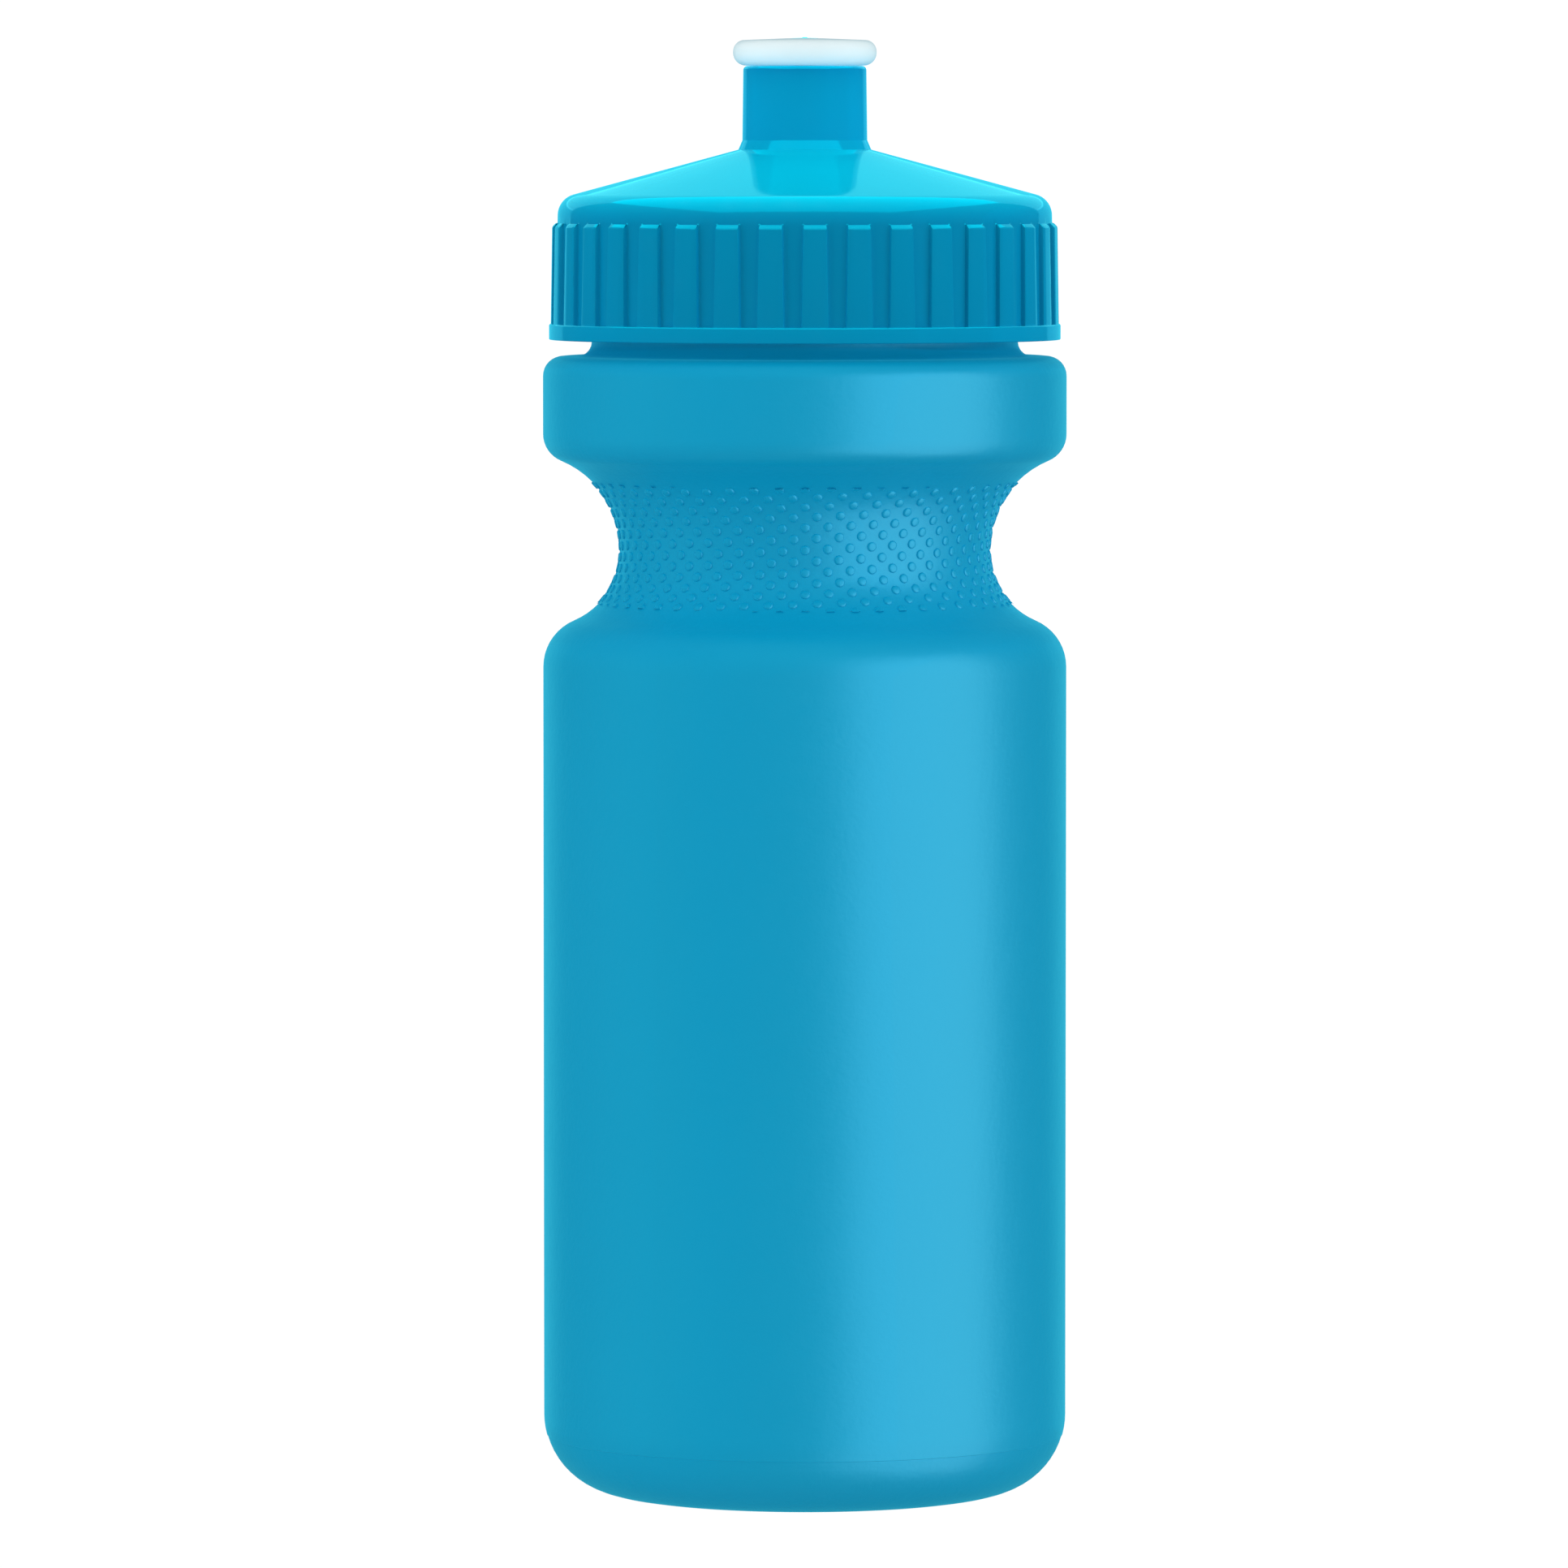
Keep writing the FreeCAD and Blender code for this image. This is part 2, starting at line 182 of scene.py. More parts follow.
def apply_modifier(piece, kind, **settings):
    """Adds a modifier, sets it and applies it."""
    modifier = piece.modifiers.new(kind.title(), kind)
    for key, value in settings.items():
        setattr(modifier, key, value)
    bpy.context.view_layer.objects.active = piece
    bpy.ops.object.modifier_apply(modifier=modifier.name)


def join(pieces):
    """Joins pieces into the first of them."""
    bpy.ops.object.select_all(action="DESELECT")
    for piece in pieces:
        piece.select_set(True)
    bpy.context.view_layer.objects.active = pieces[0]
    bpy.ops.object.join()
    return pieces[0]


# %% [markdown]
# ## The blown bottle
# The bottle is blown from one tube of soft polyethylene, so its wall is about as thick everywhere
# and every change of direction is a generous round. Its outline is drawn once as a function of the
# inset from the outside: with no inset it is the outside, and with the wall's thickness it is the
# inside. The waist is two arcs that run straight into the rounds above and below it.

# %% Sizes of the bottle
body_radius = bottle_high.x
body_wall = 1.2
base_corner = 10.9
foot_ring_width = 4.8
base_push_up = 3.0
straight_top = 115.55
shoulder_round = 6.9
waist_radius = 25.75
waist_round_below = 10.85
waist_round_above = 13.5
collar_round_below = 4.0
collar_straight = 8.1
collar_round_above = 2.75
neck_height = 16.8
neck_step = 6.8             # from the collar's side in to the neck's
neck_wall = 1.6
neck_fillet = 2.0
neck_thickening = 2.5
lip_round = 0.5
mould_line_height = 8.0     # where the mould's base insert meets its halves
mould_line_step = 0.08

lip_height = bottle_high.z
collar_top = lip_height - neck_height
collar_bottom = collar_top - collar_straight - collar_round_above
collar_radius = body_radius
neck_radius = collar_radius - neck_step
neck_bore = neck_radius - neck_wall
waist_height = straight_top + math.sqrt(
    (shoulder_round + waist_round_below) ** 2
    - (waist_radius + waist_round_below - body_radius + shoulder_round) ** 2)
foot_inner_radius = body_radius - base_corner - foot_ring_width
print("waist at", round(waist_height, 2), "collar", round(collar_bottom, 2), "to", round(collar_top, 2))

# %% Outline of the bottle's wall
corner_centre = (body_radius - base_corner, base_corner)
shoulder_centre = (body_radius - shoulder_round, straight_top)
below_centre = (waist_radius + waist_round_below, waist_height)
above_centre = (waist_radius + waist_round_above, waist_height)
under_collar_centre = (collar_radius - collar_round_below, collar_bottom)
over_collar_centre = (collar_radius - collar_round_above, collar_top - collar_round_above)
neck_root_centre = (neck_radius + neck_fillet, collar_top + neck_fillet)


def meeting(convex, convex_radius, concave, concave_radius, inset):
    """Where a convex arc runs on into a concave one."""
    share = (convex_radius - inset) / (convex_radius + concave_radius)
    return tuple(Vector(convex).lerp(Vector(concave), share))


def base_dome(inset):
    """The domed base from near the axis to the foot ring."""
    sphere = (foot_inner_radius ** 2 + base_push_up ** 2) / (2 * base_push_up)
    centre_height = base_push_up - sphere
    edge = math.sqrt((sphere + inset) ** 2 - (inset - centre_height) ** 2)
    hub = 1.5
    hub_point = (hub, centre_height + math.sqrt((sphere + inset) ** 2 - hub ** 2))
    return [hub_point, *arc((0, centre_height), hub_point, (edge, inset), 8)]


def base_corner_arc(inset):
    """The corner from foot to wall.  Outside, the base insert leaves a faint step in it."""
    foot = (corner_centre[0], inset)
    side = (body_radius - inset, base_corner)
    if inset:
        return [foot, *arc(corner_centre, foot, side, 12)]
    line_angle = -math.asin((base_corner - mould_line_height) / base_corner)
    steps = 12
    points = [foot]
    for i in range(steps):
        share = (i + 1) / steps
        angle = -math.pi / 2 + (line_angle + math.pi / 2) * share
        reach = base_corner - mould_line_step * share
        points.append((corner_centre[0] + reach * math.cos(angle),
                       corner_centre[1] + reach * math.sin(angle)))
    above_line = line_angle + mould_line_step / base_corner
    points.append((corner_centre[0] + base_corner * math.cos(above_line),
                   corner_centre[1] + base_corner * math.sin(above_line)))
    return points + arc(corner_centre, points[-1], side, 3)


def bottle_wall(inset):
    """From the centre of the base up to the neck's root."""
    into_below = meeting(shoulder_centre, shoulder_round, below_centre, waist_round_below, inset)
    into_collar = meeting(under_collar_centre, collar_round_below, above_centre, waist_round_above, inset)
    waist = (waist_radius - inset, waist_height)
    points = base_dome(inset) + base_corner_arc(inset)
    points += line(points[-1], (body_radius - inset, straight_top), 8)
    points += arc(shoulder_centre, points[-1], into_below, 9)
    points += arc(below_centre, into_below, waist, 12)
    points += arc(above_centre, waist, into_collar, 12)
    points += arc(under_collar_centre, into_collar, (collar_radius - inset, collar_bottom), 8)
    points += line(points[-1], (collar_radius - inset, over_collar_centre[1]), 2)
    points += arc(over_collar_centre, points[-1], (over_collar_centre[0], collar_top - inset), 8)
    points.append((neck_root_centre[0], collar_top - inset))
    points += arc(neck_root_centre, points[-1], (neck_radius - inset, neck_root_centre[1]), 5)
    return points


def neck_and_lip():
    """From the neck's root outside, over the rounded lip, to the bore inside."""
    round_foot = lip_height - lip_round
    points = line((neck_radius, neck_root_centre[1]), (neck_radius, round_foot), 4)
    points += arc((neck_radius - lip_round, round_foot), points[-1], (neck_radius - lip_round, lip_height), 4)
    points.append((neck_bore + lip_round, lip_height))
    points += arc((neck_bore + lip_round, round_foot), points[-1], (neck_bore, round_foot), 4)
    points.append((neck_bore, neck_root_centre[1] + neck_thickening))
    return points


outline = bottle_wall(0) + neck_and_lip() + bottle_wall(body_wall)[::-1]
print("outline of", len(outline), "points")

# %% Turn the bottle
bottle = turned("squeeze_bottle", outline, segments=180)
close_at_axis()
hub_height = outline[0][1]
select(bottle, "verts", lambda v: radius_of(v.co) < 2 and abs(v.co.z / MM - hub_height) < 0.01)
close_at_axis()
merge_and_face_out()
finish_piece(bottle)

# %% [markdown]
# ## The screw threads
# A thread is one ridge that winds round the neck. It could be a Screw modifier on a whole toothed
# profile, but a single ridge is what the mould cuts: its section is a small trapezium whose foot is
# sunk a little into the wall, and its two ends are pressed flat into the wall so that it starts
# and stops softly. The lid's ridge is the same section, pointing inwards.

# %% Make a ridge
thread_depth = 1.8
thread_pitch = 5.0
thread_foot = 2.3
thread_crest = 1.1
thread_sink = 0.4
thread_radial_gap = 0.5
thread_axial_gap = 0.3
steps_per_turn = 72


def thread_ridge(name, wall_radius, outward, turns, height, degrees):
    """A helical ridge whose lower end stands at this height and at this angle round the wall."""
    bpy.ops.object.select_all(action="DESELECT")
    bpy.ops.mesh.primitive_plane_add(size=1, rotation=(math.pi / 2, 0, 0))
    ridge = start_piece(name)
    bpy.ops.object.mode_set(mode="EDIT")
    bpy.ops.mesh.delete(type="ONLY_FACE")
    slope = (thread_foot - thread_crest) / 2 / thread_depth
    foot_width = thread_foot + 2 * slope * thread_sink
    depth = thread_depth + thread_sink
    bpy.ops.mesh.select_all(action="SELECT")
    bpy.ops.transform.resize(value=(depth * MM, 1, foot_width * MM), center_override=(0, 0, 0))
    middle = wall_radius + outward * (thread_depth - thread_sink) / 2
    bpy.ops.transform.translate(value=(middle * MM, 0, 0))
    select(ridge, "verts", lambda v: (v.co.x / MM - wall_radius) * outward > 0)
    bpy.ops.transform.resize(value=(1, 1, thread_crest / foot_width), center_override=(0, 0, 0))
    bpy.ops.object.mode_set(mode="OBJECT")
    apply_modifier(ridge, "SCREW", angle=2 * math.pi * turns, screw_offset=thread_pitch * turns * MM,
                   steps=int(steps_per_turn * turns), render_steps=int(steps_per_turn * turns))
    close_ridge(ridge, wall_radius, outward)
    turn = Matrix.Rotation(math.radians(degrees), 4, "Z")
    ridge.data.transform(Matrix.Translation((0, 0, height * MM)) @ turn)
    return ridge


def close_ridge(ridge, wall_radius, outward):
    """Caps the ridge's two ends and presses their crests into the wall."""
    bpy.ops.object.mode_set(mode="EDIT")
    bpy.ops.mesh.select_all(action="SELECT")
    bpy.ops.mesh.fill_holes(sides=4)
    select(ridge, "verts", lambda v: (len(v.link_edges) == 3
                                      and (radius_of(v.co) - wall_radius) * outward > 0))
    buried = (wall_radius - outward * thread_sink / 2) / (wall_radius + outward * thread_depth)
    bpy.ops.transform.resize(value=(buried, buried, 1), center_override=(0, 0, 0))
    merge_and_face_out()
    bpy.ops.object.mode_set(mode="OBJECT")


neck_thread_height = collar_top + 5.3
neck_thread_turns = 1.5
neck_thread_degrees = 200
neck_thread = thread_ridge(
    "neck_thread", neck_radius, 1, neck_thread_turns, neck_thread_height, neck_thread_degrees)
finish_piece(neck_thread)

# %% [markdown]
# ## The grip's dots
# Small round studs cover the waist so that a wet hand holds it. They could be bump in the material,
# but then the waist's edge would stay smooth, so they are real: one stud is modelled and copied.
# Their rows climb a little on the way round, and the mould's two halves carry the same pattern. It
# stops at two level edges, which cut through the studs that they meet.

# %% Model one stud
stud_radius = 0.69
stud_height = 0.25
stud_root = -0.12           # how deep the stud's foot is sunk in the wall
stud_rings = ((0.66, 0.09), (0.58, 0.2), (0.44, stud_height))    # radius and height
bpy.ops.object.select_all(action="DESELECT")
bpy.ops.mesh.primitive_cylinder_add(
    vertices=12, radius=stud_radius * MM, depth=-stud_root * MM, location=(0, 0, stud_root / 2 * MM))
stud = start_piece("stud")
bpy.ops.object.mode_set(mode="EDIT")
select(stud, "faces", lambda f: f.normal.z > 0.9)
height = 0.0
width = stud_radius
for next_width, next_height in stud_rings:
    bpy.ops.mesh.extrude_region_move(TRANSFORM_OT_translate={"value": (0, 0, (next_height - height) * MM)})
    growth = next_width / width
    bpy.ops.transform.resize(value=(growth, growth, 1), center_override=(0, 0, 0))
    height, width = next_height, next_width
merge_and_face_out()
finish_piece(stud, sharp_degrees=60)

# %% Copy it over the waist
stud_pitch_degrees = 180 / 26
stud_row_rise = 1.57        # between rows, along the wall
stud_climb = math.tan(math.radians(2.7))    # rise of a row over its length
stud_first_row = 3.95       # a stud faces the front at this distance above the narrowest point
grip_low, grip_high = 124.4, 141.2
halves = (-90, 90)          # the middle of each half of the mould


def on_waist(along):
    """Radius, height and tilt of the waist's wall, at a distance along it from its narrowest point."""
    bend = waist_round_above if along > 0 else waist_round_below
    tilt = along / bend
    return waist_radius + bend * (1 - math.cos(tilt)), waist_height + bend * math.sin(tilt), tilt


def stud_places():
    """One matrix for each stud that the grip's two edges leave standing, whole or cut."""
    for middle in halves:
        for row in range(-12, 13):
            for column in range(-13, 13):
                degrees = (column + row % 2 / 2) * stud_pitch_degrees
                along = stud_first_row + row * stud_row_rise
                along += stud_climb * waist_radius * math.radians(degrees)
                radius, height, tilt = on_waist(along)
                if not grip_low - stud_radius < height < grip_high + stud_radius:
                    continue
                yield (Matrix.Rotation(math.radians(middle + degrees), 4, "Z")
                       @ Matrix.Translation((radius * MM, 0, height * MM))
                       @ Matrix.Rotation(math.pi / 2 + tilt, 4, "Y"))


studs = []
for place in stud_places():
    copy = stud.copy()
    copy.data = stud.data.copy()
    copy.data.transform(place)
    bpy.context.collection.objects.link(copy)
    studs.append(copy)
print(len(studs), "studs")
grip = join(studs)
bpy.data.objects.remove(stud)

# %% Cut the pattern's edges level
bpy.ops.object.mode_set(mode="EDIT")
for height, side in ((grip_low, -1), (grip_high, 1)):
    bpy.ops.mesh.select_all(action="SELECT")
    bpy.ops.mesh.bisect(plane_co=(0, 0, height * MM), plane_no=(0, 0, side), clear_outer=True)
bpy.ops.mesh.select_all(action="SELECT")
bpy.ops.mesh.fill_holes(sides=0)
merge_and_face_out()
bpy.ops.mesh.select_all(action="SELECT")
bpy.ops.mesh.delete_loose()        # slivers that merged away leave edges without a face
bpy.ops.object.mode_set(mode="OBJECT")
bottle = join([bottle, neck_thread, grip])
finish_piece(bottle, sharp_degrees=50)

# %% [markdown]
# ## The screw lid
# The lid is one injection moulding, glossier and crisper than the bottle. Its outline runs round the
# whole section: the band at the rim, the skirt, the cone and the spout outside, and the bore, the
# cone's underside, the plug ring and the land inside. The ribs are then pushed out of the skirt. That
# keeps them part of one surface, where separate bars stuck on it would leave seams.

# %% Sizes of the lid
rim_height = lid_low.z
flange_radius = lid_high.x
flange_height = 2.2
flange_edge_round = 0.15
flange_proud = 1.25
skirt_radius = flange_radius - flange_proud
skirt_draft = 0.25
crown_round = 3.0
crown_rise = 3.1            # from the land to the skirt's upper corner
cone_degrees = 15.2
cone_slope = math.tan(math.radians(cone_degrees))
cone_wall = 2.0
rim_chamfer = 0.6
plug_gap = 0.5
plug_wall = 1.4
plug_depth = 6.0
spout_radius = 8.57
spout_draft = 0.13
spout_flare = 0.55          # how much wider the spout's foot is where it meets the cone
spout_flare_height = 1.3
spout_edge_round = 0.6
spout_wall = 1.27
catch_ring_depth = 0.4
catch_ring_height = 1.4
edge_round = 0.3
rib_count = 36
rib_proud = 0.75
rib_top_width = 3.2
rib_bottom_width = 3.8
rib_top_margin = 1.1
rib_top_slope = 0.5
rib_phase = 2.2             # degrees from the front to the nearest rib

land_height = washer_high.z
crown_corner = land_height + crown_rise
flange_top = rim_height + flange_height
lid_bore = neck_radius + thread_depth + thread_radial_gap
plug_radius = neck_bore - plug_gap
spout_bore = spout_radius - spout_wall
spout_foot_radius = spout_radius + spout_draft
spout_length = 11.47
web_count = 3
web_thickness = 1.5
web_height = 2.8
rib_top = crown_corner - crown_round * math.tan(math.radians(90 - cone_degrees) / 2) - rib_top_margin


def cone_height(radius):
    return crown_corner + (skirt_radius - radius) * cone_slope


def cone_underside(radius):
    return cone_height(radius) - cone_wall * math.hypot(1, cone_slope)


spout_top = cone_height(spout_foot_radius) + spout_length
spout_flare_radius = spout_foot_radius + spout_flare
flare_top = cone_height(spout_flare_radius) + spout_flare_height
web_foot = cone_underside(spout_bore)


def skirt_at(height):
    return skirt_radius + skirt_draft * (crown_corner - height) / (crown_corner - flange_top)


print("ribs from", round(flange_top, 2), "to", round(rib_top, 2), "spout's top", round(spout_top, 2))

# %% Outline of the lid
catch_ring_radius = spout_bore - catch_ring_depth
catch_ring_foot = spout_top - catch_ring_height
plug_bore = plug_radius - plug_wall
plug_foot = land_height - plug_depth
rib_shoulder = rib_top - rib_top_slope
rib_foot_radius = skirt_at(flange_top) + rib_proud
outline = rounded([
    (lid_bore + rim_chamfer, rim_height, 0),
    (flange_radius, rim_height, flange_edge_round),
    (flange_radius, flange_top, flange_radius - rib_foot_radius),
    (skirt_at(flange_top), flange_top, 0),
    (skirt_at(rib_shoulder), rib_shoulder, 0),
    (skirt_at(rib_top), rib_top, 0),
    (skirt_radius, crown_corner, crown_round),
    (spout_flare_radius, cone_height(spout_flare_radius), 0),
    (spout_foot_radius, flare_top, edge_round),
    (spout_radius, spout_top, spout_edge_round),
    (catch_ring_radius, spout_top, edge_round),
    (catch_ring_radius, catch_ring_foot, 0),
    (spout_bore, catch_ring_foot - catch_ring_depth / 2, 0),
    (spout_bore, web_foot, 0),
    (plug_bore, cone_underside(plug_bore), edge_round),
    (plug_bore, plug_foot, edge_round),
    (plug_radius, plug_foot, edge_round),
    (plug_radius, land_height, 0),
    (lid_bore, land_height, 0),
    (lid_bore, rim_height + rim_chamfer, 0)], degrees_per_step=9)
columns_per_rib = 8
lid = turned("ribbed_lid", outline + outline[:1], rib_count * columns_per_rib, rib_phase)
merge_and_face_out()
print("outline of", len(outline), "points")

# %% [markdown]
# ## The lid's ribs
# Each rib is eight columns of faces wide, counted with its half of the grooves beside it. The two
# columns of edges where a rib's sides will be are first turned to the rib's own width, which is
# less at its top, and then the faces between them are pulled out of the skirt in one go. The upper
# end is lowered to a slope, and a small bevel gives the corners the softness of moulded plastic.

# %% Place the ribs' sides
side_column = 2.5           # degrees from a rib's middle to the column that becomes its side


def from_rib(point):
    """Degrees from the middle of the nearest rib."""
    spacing = 360 / rib_count
    degrees = math.degrees(math.atan2(point[1], point[0])) - rib_phase + 90
    return (degrees + spacing / 2) % spacing - spacing / 2


def near(value, target, tolerance=0.05):
    return abs(value - target) < tolerance


def rib_half_angle(width, radius):
    return math.degrees(width / 2 / radius)


slope_share = rib_top_slope / (rib_top - flange_top)
rib_shoulder_width = rib_top_width + (rib_bottom_width - rib_top_width) * slope_share
half_angles = {
    flange_top: rib_half_angle(rib_bottom_width, rib_foot_radius),
    rib_shoulder: rib_half_angle(rib_shoulder_width, skirt_at(rib_shoulder)),
    rib_top: rib_half_angle(rib_top_width, skirt_at(rib_top))}
for height, half_angle in half_angles.items():
    for side in (-1, 1):
        chosen = select(lid, "verts", lambda v: (
            near(v.co.z / MM, height) and near(from_rib(v.co), side * side_column)
            and skirt_radius - 0.1 < radius_of(v.co) < rib_foot_radius + 0.01))
        turn_back = -side * (half_angle - side_column)
        bpy.ops.transform.rotate(value=math.radians(turn_back), orient_axis="Z", center_override=(0, 0, 0))
        moved = max(abs(from_rib(v.co)) for v in bmesh.from_edit_mesh(lid.data).verts if v.select)
    print("height", round(height, 2), "rib half", round(half_angle, 2), "measured", round(moved, 2), chosen)

# %% Pull the ribs out
beyond_skirt = 0.4          # out here, a vertex is on a rib's face and not on the skirt


def on_rib(face):
    middle = face.calc_center_median()
    return (abs(from_rib(middle)) < side_column and abs(face.normal.z) < 0.3
            and flange_top < middle.z / MM < rib_top and radius_of(middle) > skirt_radius - 0.1)


print("rib faces", select(lid, "faces", on_rib))
rib_growth = rib_foot_radius / skirt_at(flange_top)
bpy.ops.mesh.extrude_region_move()
bpy.ops.transform.resize(value=(rib_growth, rib_growth, 1), center_override=(0, 0, 0))
select(lid, "verts", lambda v: (near(v.co.z / MM, rib_top)
                                and radius_of(v.co) > skirt_radius + beyond_skirt))
lowered = (skirt_at(rib_top) + rib_proud - rib_top_slope) / (skirt_at(rib_top) * rib_growth)
bpy.ops.transform.resize(value=(lowered, lowered, 1), center_override=(0, 0, 0))


def under_rib(face):
    middle = face.calc_center_median()
    return (near(middle.z / MM, flange_top, 0.001) and abs(from_rib(middle)) < side_column
            and skirt_at(flange_top) - 0.1 < radius_of(middle) < rib_foot_radius)


print("faces under the ribs", select(lid, "faces", under_rib))
bpy.ops.mesh.delete(type="FACE")
merge_and_face_out()

# %% Soften the ribs
rib_bevel = 0.2
rib_side_from, rib_side_to = 2.6, 3.3     # degrees from a rib's middle to its sides


def rib_edge(edge):
    """The long edges of a rib, and the two across its upper end."""
    ends = [vert.co for vert in edge.verts]
    if not all(flange_top - 0.01 < end.z / MM < rib_top + 0.01 for end in ends):
        return False
    if not all(skirt_radius - 0.1 < radius_of(end) < rib_foot_radius + 0.01 for end in ends):
        return False
    upright = abs(ends[0].z - ends[1].z) > 0.3 * MM
    across = all(near(end.z / MM, rib_shoulder, 0.001) and radius_of(end) > skirt_radius + beyond_skirt
                 for end in ends)
    at_side = all(rib_side_from < abs(from_rib(end)) < rib_side_to for end in ends)
    return across or (upright and at_side)


print("rib edges", select(lid, "edges", rib_edge))
bpy.ops.mesh.bevel(offset=rib_bevel * MM, segments=2, affect="EDGES", clamp_overlap=False)
finish_piece(lid)

# %% [markdown]
# ## Inside the lid
# The post in the middle closes the valve's hole when the valve is pushed down. Three webs hold it
# and leave the drink's way open between them. The tip still shows the small mark where the plastic
# was fed into the mould. The thread is the neck's ridge again, turned inwards and set just under it.

# %% The sealing post
valve_hole_radius = 2.2
post_gap = 0.08
post_hub_radius = 0.8
post_tip_radius = valve_hole_radius - post_gap
post_radius = post_tip_radius + 0.48
post_tip = valve_high.z + 0.02
post_tip_length = 4.5
gate_radius = 0.4
gate_seat = 0.05
gate_height = 0.07
outline = rounded([
    (post_hub_radius, web_foot, 0),
    (post_radius, web_foot, edge_round),
    (post_radius, post_tip - post_tip_length, edge_round),
    (post_tip_radius, post_tip - post_tip_length + post_radius - post_tip_radius, 0),
    (post_tip_radius, post_tip, edge_round),
    (gate_radius, post_tip + gate_seat, 0),
    (gate_radius * 0.8, post_tip + gate_seat + gate_height, 0)])
post = turned("post", outline, 48)
close_at_axis()
select(post, "verts", lambda v: (near(v.co.z / MM, web_foot, 0.01)
                                 and near(radius_of(v.co), post_hub_radius, 0.01)))
close_at_axis()
merge_and_face_out()
finish_piece(post)

# %% Its webs
bpy.ops.object.select_all(action="DESELECT")
web_reach = spout_bore + edge_round
bpy.ops.mesh.primitive_cube_add(size=1, scale=(web_reach * MM, web_thickness * MM, web_height * MM),
                                location=(web_reach / 2 * MM, 0, (web_foot + web_height / 2) * MM))
web = start_piece("web")
bpy.ops.object.mode_set(mode="EDIT")
bpy.ops.mesh.select_all(action="SELECT")
bpy.ops.mesh.bevel(offset=edge_round * MM, segments=2, affect="EDGES")
finish_piece(web)
webs = []
for i in range(web_count):
    copy = web.copy()
    copy.data = web.data.copy()
    copy.data.transform(Matrix.Rotation(math.radians(90 + 360 / web_count * i), 4, "Z"))
    bpy.context.collection.objects.link(copy)
    webs.append(copy)
bpy.data.objects.remove(web)

# %% The lid's thread
lid_thread_turns = 1.25
lid_thread_delay = 0.3
overlap = (thread_foot + thread_crest - (thread_foot - thread_crest) * thread_radial_gap / thread_depth) / 2
lid_thread_height = neck_thread_height - overlap - thread_axial_gap + thread_pitch * lid_thread_delay
lid_thread = thread_ridge("lid_thread", lid_bore, -1, lid_thread_turns, lid_thread_height,
                          neck_thread_degrees + 360 * lid_thread_delay)
lid = join([lid, post, lid_thread, *webs])
finish_piece(lid)

# %% [markdown]
# ## The valve and the washer
# The valve is softer and paler than the lid. Its lip is fat and round, because lips and teeth pull
# it open, and its stem runs down inside the spout to a bead that stops it from coming out. The
# washer is a plain soft ring that the lid squeezes against the neck.

# %% Turn the valve
valve_top_wall = 2.4
valve_lip_height = 3.5
valve_lip_round_below = 1.8
valve_lip_round_above = 1.6
valve_lip_gap = 0.05        # over the spout, when pushed down
valve_crown = 0.3
valve_stem_gap = 0.25
valve_stem_wall = 1.6
valve_bead_gap = 0.15
valve_bottom = valve_low.z
valve_stem_radius = catch_ring_radius - valve_stem_gap
valve_bead_radius = spout_bore - valve_bead_gap
valve_bead_height = 1.2
valve_lip_radius = valve_high.x
lip_bottom = spout_top + valve_lip_gap
valve_top = lip_bottom + valve_lip_height
stem_bore = valve_stem_radius - valve_stem_wall
outline = rounded([
    (valve_hole_radius, valve_top - valve_top_wall, 0),
    (stem_bore, valve_top - valve_top_wall, 0.6),
    (stem_bore, valve_bottom, 0),
    (valve_stem_radius, valve_bottom, 0),
    (valve_bead_radius, valve_bottom + valve_bead_radius - valve_stem_radius, 0),
    (valve_bead_radius, valve_bottom + valve_bead_height, 0),
    (valve_stem_radius, valve_bottom + valve_bead_height, 0),
    (valve_stem_radius, lip_bottom, 0),
    (valve_lip_radius, lip_bottom, valve_lip_round_below),
    (valve_lip_radius, valve_top, valve_lip_round_above),
    (valve_hole_radius, valve_top + valve_crown, edge_round)], degrees_per_step=7.5)
valve = turned("mouthpiece", outline + outline[:1], 128)
merge_and_face_out()
finish_piece(valve)

# %% Turn the washer
washer_inner = plug_radius + 0.3
washer_round = 0.35
outline = rounded([
    (washer_inner, washer_low.z, washer_round),
    (washer_high.x, washer_low.z, washer_round),
    (washer_high.x, washer_high.z, washer_round),
    (washer_inner, washer_high.z, washer_round)])
washer = turned("washer", outline + outline[:1], 128)
merge_and_face_out()
finish_piece(washer)

# %% [markdown]
# ## Finishes
# All four finishes are plain, so what tells them apart is gloss and grain. Material nodes
# are written here as sums: a small class holds one socket, and + and * add the Math node that does it.

# %% Sums on sockets
class Socket:
    """One output of a node, which can be added to and multiplied by numbers and other outputs."""
    def __init__(self, finish, output):
        self.finish = finish
        self.output = output

    def _sum(self, operation, *terms):
        return self.finish.node("ShaderNodeMath", {"operation": operation}, dict(enumerate(terms)))["Value"]

    def __add__(self, other):
        return self._sum("ADD", self, other)

    def __mul__(self, other):
        return self._sum("MULTIPLY", self, other)

    def steps(self, start, end):
        """Runs from 0 to 1 while this runs from start to end."""
        ranges = {"From Min": start, "From Max": end}
        return self.finish.node("ShaderNodeMapRange", {"clamp": True}, {"Value": self, **ranges})["Result"]

    __radd__ = __add__
    __rmul__ = __mul__


